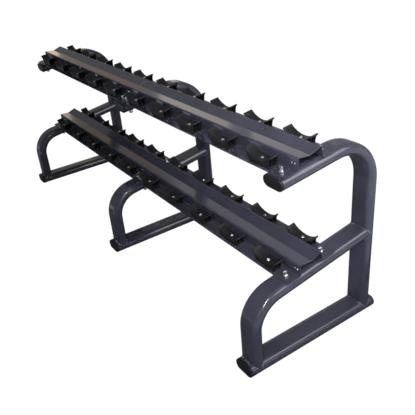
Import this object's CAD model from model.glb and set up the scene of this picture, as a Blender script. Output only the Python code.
import math

import bmesh
import bpy
from mathutils import Matrix, Vector


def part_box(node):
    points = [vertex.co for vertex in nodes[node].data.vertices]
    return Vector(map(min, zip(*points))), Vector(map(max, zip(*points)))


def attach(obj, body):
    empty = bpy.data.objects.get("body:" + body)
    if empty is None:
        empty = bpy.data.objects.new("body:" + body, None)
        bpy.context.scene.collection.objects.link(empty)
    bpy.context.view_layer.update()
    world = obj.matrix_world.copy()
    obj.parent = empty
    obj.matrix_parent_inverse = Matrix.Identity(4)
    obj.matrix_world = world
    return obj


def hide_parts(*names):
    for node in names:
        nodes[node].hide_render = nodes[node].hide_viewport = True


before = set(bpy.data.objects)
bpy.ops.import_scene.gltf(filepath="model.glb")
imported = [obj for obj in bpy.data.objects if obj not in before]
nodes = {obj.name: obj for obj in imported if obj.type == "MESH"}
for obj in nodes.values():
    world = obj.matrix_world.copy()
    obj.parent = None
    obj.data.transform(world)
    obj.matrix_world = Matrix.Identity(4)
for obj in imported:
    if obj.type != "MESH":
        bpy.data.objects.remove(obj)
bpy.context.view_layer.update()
MM = 0.001


# ---------------------------------------------------------------- camera
CAMERA_PLACE = (2.4365, -1.2335, 1.6015)
CAMERA_AZIMUTH, CAMERA_DROP, CAMERA_ROLL = 58.14, 28.74, -5.37
CAMERA_LENS = 47.66


def add_camera():
    """The photograph's camera, solved from the rack's own corners and screws."""
    azimuth, drop, roll = (math.radians(a) for a in (CAMERA_AZIMUTH, CAMERA_DROP, CAMERA_ROLL))
    level_reach = math.cos(drop)
    back = Vector((math.sin(azimuth) * level_reach, -math.cos(azimuth) * level_reach, math.sin(drop)))
    right = (-back).cross(Vector((0, 0, 1))).normalized()
    up = right.cross(-back)
    level = Matrix((right, up, back)).transposed()
    turn = Matrix.Rotation(roll, 3, "Z")
    data = bpy.data.cameras.new("camera")
    data.sensor_width = 36
    data.lens = CAMERA_LENS
    data.clip_end = 60
    camera = bpy.data.objects.new("camera", data)
    camera.matrix_world = Matrix.Translation(CAMERA_PLACE) @ (level @ turn).to_4x4()
    bpy.context.scene.collection.objects.link(camera)
    bpy.context.scene.camera = camera


add_camera()


# ---------------------------------------------------------------- materials
def new_material(name):
    material = bpy.data.materials.new(name)
    material.use_nodes = True
    tree = material.node_tree
    return material, tree, tree.nodes["Principled BSDF"]


def texture(tree, kind, scale, **inputs):
    node = tree.nodes.new(kind)
    coords = tree.nodes.get("coords") or tree.nodes.new("ShaderNodeTexCoord")
    coords.name = "coords"
    tree.links.new(coords.outputs["Object"], node.inputs["Vector"])
    node.inputs["Scale"].default_value = scale
    for key, value in inputs.items():
        node.inputs[key].default_value = value
    return node


def spread(tree, source, low, high, first, last):
    """A texture's values between low and high, spread from first to last."""
    node = tree.nodes.new("ShaderNodeMapRange")
    for key, value in (("From Min", low), ("From Max", high), ("To Min", first), ("To Max", last)):
        node.inputs[key].default_value = value
    tree.links.new(source, node.inputs["Value"])
    return node.outputs["Result"]


def mix_colour(tree, factor, one, other):
    node = tree.nodes.new("ShaderNodeMix")
    node.data_type = "RGBA"
    node.inputs[6].default_value = (*one, 1)
    node.inputs[7].default_value = (*other, 1)
    tree.links.new(factor, node.inputs[0])
    return node.outputs[2]


def tint(tree, shader, factor, one, other):
    """Base colour that drifts between two tones."""
    tree.links.new(mix_colour(tree, factor, one, other), shader.inputs["Base Color"])


def bump(tree, shader, source, strength, distance):
    """A bump that adds to whatever normal the shader already has."""
    node = tree.nodes.new("ShaderNodeBump")
    node.inputs["Strength"].default_value = strength
    node.inputs["Distance"].default_value = distance
    tree.links.new(source, node.inputs["Height"])
    if shader.inputs["Normal"].is_linked:
        tree.links.new(shader.inputs["Normal"].links[0].from_socket, node.inputs["Normal"])
    tree.links.new(node.outputs["Normal"], shader.inputs["Normal"])


EDGE_ROUNDING = 0.0016


def powder_coat():
    """Dark blue-grey gloss coat with a faint orange peel and a slow drift in tone."""
    material, tree, shader = new_material("powder_coat")
    cloud = texture(tree, "ShaderNodeTexNoise", 7, Detail=3)
    tone = spread(tree, cloud.outputs["Fac"], 0.3, 0.7, 0, 1)
    tint(tree, shader, tone, (0.022, 0.0222, 0.031), (0.028, 0.0283, 0.040))
    tree.links.new(spread(tree, cloud.outputs["Fac"], 0.3, 0.7, 0.09, 0.13), shader.inputs["Roughness"])
    shader.inputs["IOR"].default_value = 1.45
    edge = tree.nodes.new("ShaderNodeBevel")
    edge.samples = 6
    edge.inputs["Radius"].default_value = EDGE_ROUNDING
    tree.links.new(edge.outputs["Normal"], shader.inputs["Normal"])
    wave = texture(tree, "ShaderNodeTexNoise", 60, Detail=1)
    bump(tree, shader, wave.outputs["Fac"], 0.02, 0.0003)
    peel = texture(tree, "ShaderNodeTexNoise", 500, Detail=2)
    bump(tree, shader, peel.outputs["Fac"], 0.006, 0.0001)
    return material


def moulding():
    """Black moulded plastic with a fine satin grain."""
    material, tree, shader = new_material("moulding")
    cloud = texture(tree, "ShaderNodeTexNoise", 40, Detail=3)
    tone = spread(tree, cloud.outputs["Fac"], 0.3, 0.7, 0, 1)
    tint(tree, shader, tone, (0.006, 0.006, 0.006), (0.009, 0.009, 0.009))
    tree.links.new(spread(tree, cloud.outputs["Fac"], 0.3, 0.7, 0.34, 0.46), shader.inputs["Roughness"])
    shader.inputs["IOR"].default_value = 1.25
    grain = texture(tree, "ShaderNodeTexVoronoi", 1500)
    bump(tree, shader, grain.outputs["Distance"], 0.2, 0.0002)
    return material


def plated():
    """Bright zinc plate, a little cloudy."""
    material, tree, shader = new_material("plated")
    cloud = texture(tree, "ShaderNodeTexNoise", 150, Detail=2)
    tone = spread(tree, cloud.outputs["Fac"], 0.3, 0.7, 0, 1)
    tint(tree, shader, tone, (0.80, 0.81, 0.84), (0.93, 0.93, 0.94))
    tree.links.new(spread(tree, cloud.outputs["Fac"], 0.3, 0.7, 0.12, 0.22), shader.inputs["Roughness"])
    shader.inputs["Metallic"].default_value = 1
    return material


def spatter(name, first, last):
    """Painted weld with pale specks where the bead shines through."""
    material, tree, shader = new_material(name)
    speck = texture(tree, "ShaderNodeTexNoise", 260, Detail=1)
    tone = spread(tree, speck.outputs["Fac"], first, last, 0, 1)
    tint(tree, shader, tone, (0.03, 0.03, 0.041), (0.75, 0.76, 0.8))
    shader.inputs["Roughness"].default_value = 0.3
    return material


paint, plastic, chrome = powder_coat(), moulding(), plated()
# few specks on the long beads, many on the small marks
bead_finish, mark_finish = spatter("weld_bead", 0.64, 0.72), spatter("weld_mark", 0.42, 0.5)


def is_saddle(name):
    """True of the saddles themselves, and not of their screws and nuts."""
    return name.startswith("saddle_") and name[-1].isdigit()


for name, node in nodes.items():
    node.data.materials.clear()
    if is_saddle(name) or name.endswith("caps"):
        node.data.materials.append(plastic)
    else:
        node.data.materials.append(chrome if name.startswith(("saddle_", "frame_")) else paint)


# ---------------------------------------------------------------- mesh helpers
def finish_mesh(bm, name, sharp=35):
    """Makes a mesh that is smooth, apart from edges sharper than the given angle."""
    bmesh.ops.recalc_face_normals(bm, faces=bm.faces)
    mesh = bpy.data.meshes.new(name)
    bm.to_mesh(mesh)
    bm.free()
    mesh.shade_smooth()
    mesh.set_sharp_from_angle(angle=math.radians(sharp))
    return mesh


def merge(target, source):
    """Adds one mesh to another, and lets the first go."""
    spare = bpy.data.meshes.new("spare")
    source.to_mesh(spare)
    source.free()
    target.from_mesh(spare)
    bpy.data.meshes.remove(spare)


def add_prism(bm, outline, near, far, rounding=0.0, segments=3, corner=40):
    """A closed outline (u, w) drawn out along v from near to far, with its sharp edges rounded."""
    made = bmesh.new()
    first = [made.verts.new((u, near, w)) for u, w in outline]
    last = [made.verts.new((u, far, w)) for u, w in outline]
    made.faces.new(first)
    made.faces.new(last[::-1])
    for i in range(len(outline)):
        j = (i + 1) % len(outline)
        made.faces.new((first[j], first[i], last[i], last[j]))
    bmesh.ops.recalc_face_normals(made, faces=made.faces)
    if rounding:
        made.normal_update()
        sharp = [e for e in made.edges if e.calc_face_angle(0) > math.radians(corner)]
        bmesh.ops.bevel(
            made, geom=sharp, offset=rounding, segments=segments,
            profile=0.5, affect="EDGES", clamp_overlap=True,
        )
    merge(bm, made)


def add_lathe(bm, profile, place, turn):
    """A closed round solid: profile is (radius, height) from its bottom centre to its top centre."""
    rings = []
    for radius, height in profile:
        if radius < 1e-9:
            rings.append([bm.verts.new(place @ Vector((0, 0, height)))])
        else:
            ring = [(radius * math.cos(a), radius * math.sin(a), height)
                    for a in (2 * math.pi * k / turn for k in range(turn))]
            rings.append([bm.verts.new(place @ Vector(point)) for point in ring])
    for low, high in zip(rings, rings[1:]):
        for k in range(turn):
            j = (k + 1) % turn
            corners = [low[k % len(low)], low[j % len(low)], high[j % len(high)], high[k % len(high)]]
            bm.faces.new(list(dict.fromkeys(corners)))


def add_piece(mesh, name, material, place=Matrix.Identity(4), replaces=()):
    """A visual piece that rides on the root body, and may stand for CAD nodes."""
    piece = bpy.data.objects.new(name, mesh)
    piece.matrix_world = place
    bpy.context.scene.collection.objects.link(piece)
    if not mesh.materials:
        mesh.materials.append(material)
    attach(piece, "root")
    if replaces:
        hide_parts(*replaces)
    return piece


# ---------------------------------------------------------------- places read from the frame
def tilt_of(tier):
    """A tier's forward tilt, from the step between a front saddle and the rear one behind it."""
    front = sum(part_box(f"saddle_{tier}_front_1"), Vector()) / 2
    rear = sum(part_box(f"saddle_{tier}_rear_1"), Vector()) / 2
    return math.atan2(rear.z - front.z, rear.y - front.y)


def local_box(name, tilt, keep=lambda point: True):
    """A node's corners in axes turned with a tier, whose origin is the frame's."""
    back = Matrix.Rotation(-tilt, 3, "X")
    points = [back @ v.co for v in nodes[name].data.vertices]
    points = [p for p in points if keep(p)]
    low = Vector(min(p[i] for p in points) for i in range(3))
    high = Vector(max(p[i] for p in points) for i in range(3))
    return low, high


TILT = {tier: tilt_of(tier) for tier in ("lower", "upper")}


# ---------------------------------------------------------------- saddles
def arc(centre, radius, first, last, steps):
    """Points along a circle, both ends included."""
    angles = [first + (last - first) * k / steps for k in range(steps + 1)]
    return [(centre[0] + radius * math.cos(a), centre[1] + radius * math.sin(a)) for a in angles]


def saddle_mesh(width, depth, height):
    """A moulded cradle: a curved seat plate with rolled lips on two walls and a rib."""
    # the seat's lowest point, the width between its lips and the plate's thickness
    seat_low, mouth, skin = 21 * MM, 0.93 * width, 6 * MM
    radius = ((mouth / 2) ** 2 + (height - seat_low) ** 2) / (2 * (height - seat_low))
    centre = (0, seat_low + radius)
    lip = 3.7 * MM
    reach = math.asin((width / 2 - lip - 0.2 * MM) / (radius + skin / 2))
    down = -math.pi / 2

    def tip(side):
        """Middle of a rolled lip."""
        middle = radius + skin / 2
        return centre[0] + side * middle * math.sin(reach), centre[1] - middle * math.cos(reach)

    plate = arc(centre, radius, down - reach + 0.035, down + reach - 0.035, 40)
    plate += arc(tip(1), lip, math.radians(148), math.radians(-78), 12)
    plate += arc(centre, radius + skin, down + reach - 0.045, down - reach + 0.045, 40)
    plate += arc(tip(-1), lip, math.radians(258), math.radians(32), 12)

    def wall(foot, top, sink, bulge):
        """Outline of a wall under the seat, with its ends drawn in between the foot and the lip."""
        end = math.asin(top / (radius + sink))
        rim = centre[1] - (radius + sink) * math.cos(end)
        edge = [(foot + (top - foot) * k / 8 - bulge * k * (8 - k) / 16, rim * k / 8) for k in range(9)]
        crown = arc(centre, radius + sink, down + end, down - end, 32)
        return edge + crown[1:-1] + [(-u, w) for u, w in edge[::-1]]

    bm = bmesh.new()
    half, sink, inner_reach = depth / 2, 3 * MM, depth / 2 - 3 * MM
    add_prism(bm, plate, -half, half, rounding=1.3 * MM, segments=3, corner=50)
    face = wall(0.366 * width, 0.468 * width, sink, 2.6 * MM)
    for side in (-1, 1):
        outer, inner = side * (half - 1.1 * MM), side * (half - 6 * MM)
        add_prism(bm, face, min(outer, inner), max(outer, inner), rounding=0.7 * MM, segments=2, corner=50)
    rib = wall(0.34 * width, 0.44 * width, sink, 3 * MM)
    add_prism(bm, rib, -2.5 * MM, 2.5 * MM, rounding=0.5 * MM, segments=1, corner=50)
    core = wall(0.155 * width, 0.155 * width, sink, 0)
    add_prism(bm, core, -inner_reach, inner_reach)
    foot = 0.36 * width
    floor = [(-foot, 0), (foot, 0), (foot, 5 * MM), (-foot, 5 * MM)]
    add_prism(bm, floor, -inner_reach, inner_reach, rounding=0.5 * MM, segments=1)
    return finish_mesh(bm, "saddle", sharp=32)


def add_saddles():
    """One shared mesh, sized on the first saddle, set in the place of every saddle node."""
    mesh = None
    for name in sorted(n for n in nodes if is_saddle(n)):
        tilt = TILT[name.split("_")[1]]
        low, high = local_box(name, tilt)
        if mesh is None:
            mesh = saddle_mesh(high.x - low.x, high.y - low.y, high.z - low.z)
        foot = Matrix.Translation(((low.x + high.x) / 2, (low.y + high.y) / 2, low.z))
        place = Matrix.Rotation(tilt, 4, "X") @ foot
        add_piece(mesh, name.replace("saddle", "cradle"), plastic, place, [name])


add_saddles()


# ---------------------------------------------------------------- end caps
def oval(width, depth, steps=20):
    """Flat-oval outline, long way along u, round its centre."""
    r, flat = depth / 2, (width - depth) / 2
    right = arc((flat, 0), r, -math.pi / 2, math.pi / 2, steps)
    left = arc((-flat, 0), r, math.pi / 2, 1.5 * math.pi, steps)
    return right + left


CAP_ROUNDING = 3.2 * MM


def add_caps():
    """Caps with rounded rims, on both ends of each base tube and on each upper arm's tip."""
    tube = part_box("middle_base_tube")
    width, depth = tube[1].x - tube[0].x, tube[1].z - tube[0].z
    thick = tube[0].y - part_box("base_end_caps")[0].y
    outline = oval(width - 0.6 * MM, depth - 0.6 * MM)
    base, arm = bmesh.new(), bmesh.new()
    for side in ("left", "middle", "right"):
        low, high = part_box(f"{side}_base_tube")
        for end, y in ((-1, low.y), (1, high.y)):
            piece = bmesh.new()
            add_prism(piece, outline, 0, end * thick, rounding=CAP_ROUNDING, segments=4)
            piece.transform(Matrix.Translation(((low.x + high.x) / 2, y, (low.z + high.z) / 2)))
            merge(base, piece)
        tilt = TILT["upper"]
        low, high = local_box(f"{side}_rear_post", tilt)
        tip_end = low.y + 2 * MM
        tip_low, tip_high = local_box(f"{side}_rear_post", tilt, lambda p: p.y < tip_end)
        piece = bmesh.new()
        add_prism(piece, outline, -thick, 0, rounding=CAP_ROUNDING, segments=4)
        place = Matrix.Translation(((low.x + high.x) / 2, low.y, (tip_low.z + tip_high.z) / 2))
        piece.transform(Matrix.Rotation(tilt, 4, "X") @ place)
        merge(arm, piece)
    for made, name, node in ((base, "foot_caps", "base_end_caps"), (arm, "tip_caps", "arm_end_caps")):
        add_piece(finish_mesh(made, name), name, plastic, replaces=[node])


add_caps()


# ---------------------------------------------------------------- weld beads and weld marks
def add_bead(bm, path, radius, seed):
    """A weld bead: a closed tube along a ring of points, rippled as it was laid down."""
    count, sides = len(path), 8
    rings = []
    for i, point in enumerate(path):
        ahead, behind = path[(i + 1) % count], path[i - 1]
        along = (ahead - behind).normalized()
        side = along.cross(Vector((0.31, 0.17, 0.93))).normalized()
        up = side.cross(along)
        size = radius * (1 + 0.12 * math.sin(i * 1.9 + seed) + 0.06 * math.sin(i * 0.63 + 2 * seed))
        ring = []
        for k in range(sides):
            a = 2 * math.pi * k / sides
            ring.append(bm.verts.new(point + size * (math.cos(a) * side + math.sin(a) * up)))
        rings.append(ring)
    for i in range(count):
        one, two = rings[i], rings[(i + 1) % count]
        for k in range(sides):
            j = (k + 1) % sides
            bm.faces.new((one[k], one[j], two[j], two[k]))


def oval_ring(width, depth, steps):
    """Points evenly spaced round the flat oval."""
    r, flat = depth / 2, (width - depth) / 2
    length = 4 * flat + 2 * math.pi * r
    points = []
    for k in range(steps):
        s = length * k / steps
        if s < 2 * flat:
            points.append((s - flat, -r))
        elif s < 2 * flat + math.pi * r:
            a = (s - 2 * flat) / r - math.pi / 2
            points.append((flat + r * math.cos(a), r * math.sin(a)))
        elif s < 4 * flat + math.pi * r:
            points.append((flat - (s - 2 * flat - math.pi * r), r))
        else:
            a = (s - 4 * flat - math.pi * r) / r + math.pi / 2
            points.append((-flat + r * math.cos(a), r * math.sin(a)))
    return points


def oval_face(u, width, depth):
    """How far the flat oval's face stands from its middle plane at a distance along it."""
    r, flat = depth / 2, (width - depth) / 2
    over = max(abs(u) - flat, 0)
    return math.sqrt(max(r * r - over * over, 0))


BEAD_RADIUS = 2.6 * MM


def add_welds():
    """Beads round the post and the leg on the base tube, and round the lower arm on the post."""
    bm = bmesh.new()
    for seed, side in enumerate(("left", "middle", "right")):
        low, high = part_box(f"{side}_base_tube")
        x, z = (low.x + high.x) / 2, (low.z + high.z) / 2
        width, depth = high.x - low.x, high.z - low.z
        # the ring leaves out the points where the faces turn down too steeply to carry a bead
        ring = [(u, v) for u, v in oval_ring(width, depth, 150) if abs(u) < width / 2 - 1 * MM]
        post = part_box(f"{side}_rear_post")[1].y - depth / 2
        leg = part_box(f"{side}_front_leg")[0].y + depth / 2
        for y in (post, leg):
            path = [Vector((x + u, y + v, z + oval_face(u, width, depth))) for u, v in ring]
            add_bead(bm, path, BEAD_RADIUS, seed + y)
        tilt = TILT["lower"]
        arm_low, arm_high = local_box(f"{side}_front_leg", tilt, lambda p: p.y > 0)
        middle = (arm_low.z + arm_high.z) / 2
        path = []
        for u, v in ring:
            y = post - oval_face(u, width, depth)
            # the arm's face leans with the tier, so the height follows from where it meets the post
            path.append(Vector((x + u, y, (middle + v + math.sin(tilt) * y) / math.cos(tilt))))
        add_bead(bm, path, BEAD_RADIUS, seed + 5)
    add_piece(finish_mesh(bm, "weld_beads", sharp=60), "weld_beads", bead_finish)


# a beam's web: how far its face is from the beam's middle, its lean, and the marks' places on it
WEB_REACH, WEB_LEAN, MARK_HEIGHT = 57.9 * MM, 83.5, 0.56
MARK_STEPS = (14 * MM, 28 * MM)


def add_weld_marks():
    """Small domed marks near each end of a beam's webs, where its end stiffeners are welded."""
    bm = bmesh.new()
    dome = [(0, -0.6), (2.7, -0.6), (2.7, 0.1), (2.3, 0.8), (1.5, 1.3), (0.7, 1.5), (0, 1.55)]
    dome = [(r * MM, h * MM) for r, h in dome]
    for tier in ("lower", "upper"):
        tilt = TILT[tier]
        turned = Matrix.Rotation(tilt, 4, "X")
        for side in ("left", "right"):
            low, high = local_box(f"{tier}_{side}_beam", tilt)
            middle = (low.y + high.y) / 2
            height = high.z - low.z
            for x in [low.x + step for step in MARK_STEPS] + [high.x - step for step in MARK_STEPS]:
                for face in (-1, 1):
                    spot = Matrix.Translation((x, middle + face * WEB_REACH, low.z + MARK_HEIGHT * height))
                    lean = Matrix.Rotation(-face * math.radians(WEB_LEAN), 4, "X")
                    add_lathe(bm, dome, turned @ spot @ lean, turn=20)
    add_piece(finish_mesh(bm, "weld_marks", sharp=50), "weld_marks", mark_finish)


add_welds()
add_weld_marks()


# ---------------------------------------------------------------- stage
def add_stage(name, corners, colour, strength):
    """A plain glowing sheet of four-cornered faces."""
    mesh = bpy.data.meshes.new(name)
    mesh.from_pydata(corners, [], [range(i, i + 4) for i in range(0, len(corners), 4)])
    sheet = bpy.data.objects.new(name, mesh)
    bpy.context.scene.collection.objects.link(sheet)
    material, _, shader = new_material(name)
    shader.inputs["Base Color"].default_value = (0, 0, 0, 1)
    shader.inputs["Specular IOR Level"].default_value = 0
    shader.inputs["Emission Color"].default_value = (*colour, 1)
    shader.inputs["Emission Strength"].default_value = strength
    mesh.materials.append(material)
    return sheet


def add_studio():
    """A white floor and walls, seen only by the camera, so that the gloss shows a darker room."""
    far, high = 25, 20
    ring = [(-far, -far), (far, -far), (far, far), (-far, far)]
    corners = [(x, y, 0) for x, y in ring]
    for (ax, ay), (bx, by) in zip(ring, ring[1:] + ring[:1]):
        corners += [(ax, ay, 0), (bx, by, 0), (bx, by, high), (ax, ay, high)]
    studio = add_stage("floor", corners, (1, 1, 1), 1.02)
    studio.visible_diffuse = studio.visible_glossy = studio.visible_shadow = False


def wall(left, right, low, high):
    """Corners of an upright card between two places on the floor plan."""
    return [(*left, low), (*right, low), (*right, high), (*left, high)]


def floor_card(west, east, south, north, height=-0.02):
    """Corners of a flat card just under the floor."""
    return [(x, y, height) for x, y in ((west, south), (east, south), (east, north), (west, north))]


def add_card(name, corners, colour):
    """A glowing card that the camera doesn't see: it shows in the gloss, and lights the rack a little."""
    card = add_stage(name, corners, colour, 1)
    card.visible_camera = card.visible_shadow = False


def add_glow(name, place, aim, size, colour, strength):
    """A soft panel, brightest at its middle, so that its reflection has no hard edge."""
    panel = add_stage(name, [(-1, -1, 0), (1, -1, 0), (1, 1, 0), (-1, 1, 0)], colour, strength)
    turn = (Vector(aim) - Vector(place)).to_track_quat("-Z", "Y").to_matrix().to_4x4()
    panel.matrix_world = Matrix.Translation(place) @ turn @ Matrix.Diagonal((*size, 1, 1))
    tree = panel.data.materials[0].node_tree
    fade = tree.nodes.new("ShaderNodeTexGradient")
    fade.gradient_type = "SPHERICAL"
    tree.links.new(tree.nodes.new("ShaderNodeTexCoord").outputs["Object"], fade.inputs["Vector"])
    glow = spread(tree, fade.outputs["Fac"], 0, 0.7, 0, strength)
    tree.links.new(glow, tree.nodes["Principled BSDF"].inputs["Emission Strength"])
    panel.visible_camera = panel.visible_shadow = False


def area_light(name, place, aim, size, power, colour=(1, 1, 1), spread_angle=180):
    """A soft light that the camera doesn't see."""
    data = bpy.data.lights.new(name, "AREA")
    data.shape = "RECTANGLE"
    data.size, data.size_y = size
    data.energy = power
    data.color = colour
    data.spread = math.radians(spread_angle)
    light = bpy.data.objects.new(name, data)
    light.location = place
    light.rotation_euler = (Vector(aim) - Vector(place)).to_track_quat("-Z", "Y").to_euler()
    light.visible_camera = False
    bpy.context.scene.collection.objects.link(light)
    return light


def add_world():
    """A dim room that darkens below the horizon."""
    scene = bpy.context.scene
    scene.view_settings.view_transform = "Standard"
    world = bpy.data.worlds.new("studio")
    scene.world = world
    world.use_nodes = True
    tree = world.node_tree
    back = tree.nodes["Background"]
    back.inputs["Color"].default_value = (0.96, 0.98, 1.04, 1)
    split = tree.nodes.new("ShaderNodeSeparateXYZ")
    tree.links.new(tree.nodes.new("ShaderNodeTexCoord").outputs["Generated"], split.inputs[0])
    tree.links.new(spread(tree, split.outputs["Z"], -0.45, -0.1, 0.11, 0.3), back.inputs["Strength"])


add_studio()
add_world()
# upright cards beyond the far end, for the long reflections along the beams' troughs
add_card("card_near", wall((-4.7, 6.7), (-5.95, 5.75), 1.3, 3.6), (0.92, 0.86, 0.78))
add_card("card_middle", wall((-6.3, 5.45), (-7.5, 4.45), 1.3, 3.6), (1.05, 0.96, 0.8))
add_card("card_high", wall((-4.7, 6.7), (-7.4, 4.55), 3.8, 6.4), (0.62, 0.6, 0.6))
add_card("card_far", wall((-7.7, 4.3), (-9.35, 3.1), 1.3, 4.5), (0.36, 0.28, 0.21))
add_card("card_lamp", wall((-9.42, 3.02), (-10.2, 2.3), 1.3, 3.6), (1.6, 1.3, 0.85))
# cards near the floor, for the undersides and the lower faces of the tubes
add_card("card_floor_low", floor_card(0.72, 1.04, -0.22, 0.2), (0.32, 0.33, 0.45))
add_card("card_floor_far", floor_card(-4.0, 0.0, -2.4, -1.15), (1.0, 1.05, 1.35))
add_card("card_floor_side", floor_card(1.6, 4.5, -2.4, 4.6), (0.9, 0.95, 1.15))
add_card("card_side", wall((2.0, -1.6), (2.0, 2.6), 0.35, 0.95), (0.9, 0.92, 1.0))
# lights: a wide soft panel, a dim top light, a key that lights without a glint, and a narrow glint
add_glow("glow_side", (3.5, 1.1, 2.3), (1.1, 0.1, 0.6), (2.2, 2.0), (1, 0.99, 1.02), 6.8)
area_light("top", (2.6, 0.6, 5.0), (0, 0, 0.5), (3, 3), 20)
key = area_light(
    "key", (2.4, -1.15, 2.0), (1.1, 0.35, 1.15), (0.7, 0.7), 16, (0.98, 0.98, 1.04), spread_angle=75
)
key.visible_glossy = False
area_light(
    "line", (2.5, -1.4, 2.15), (1.2, -0.3, 0.4), (0.16, 1.7), 8, (1, 0.98, 1.04), spread_angle=50
)
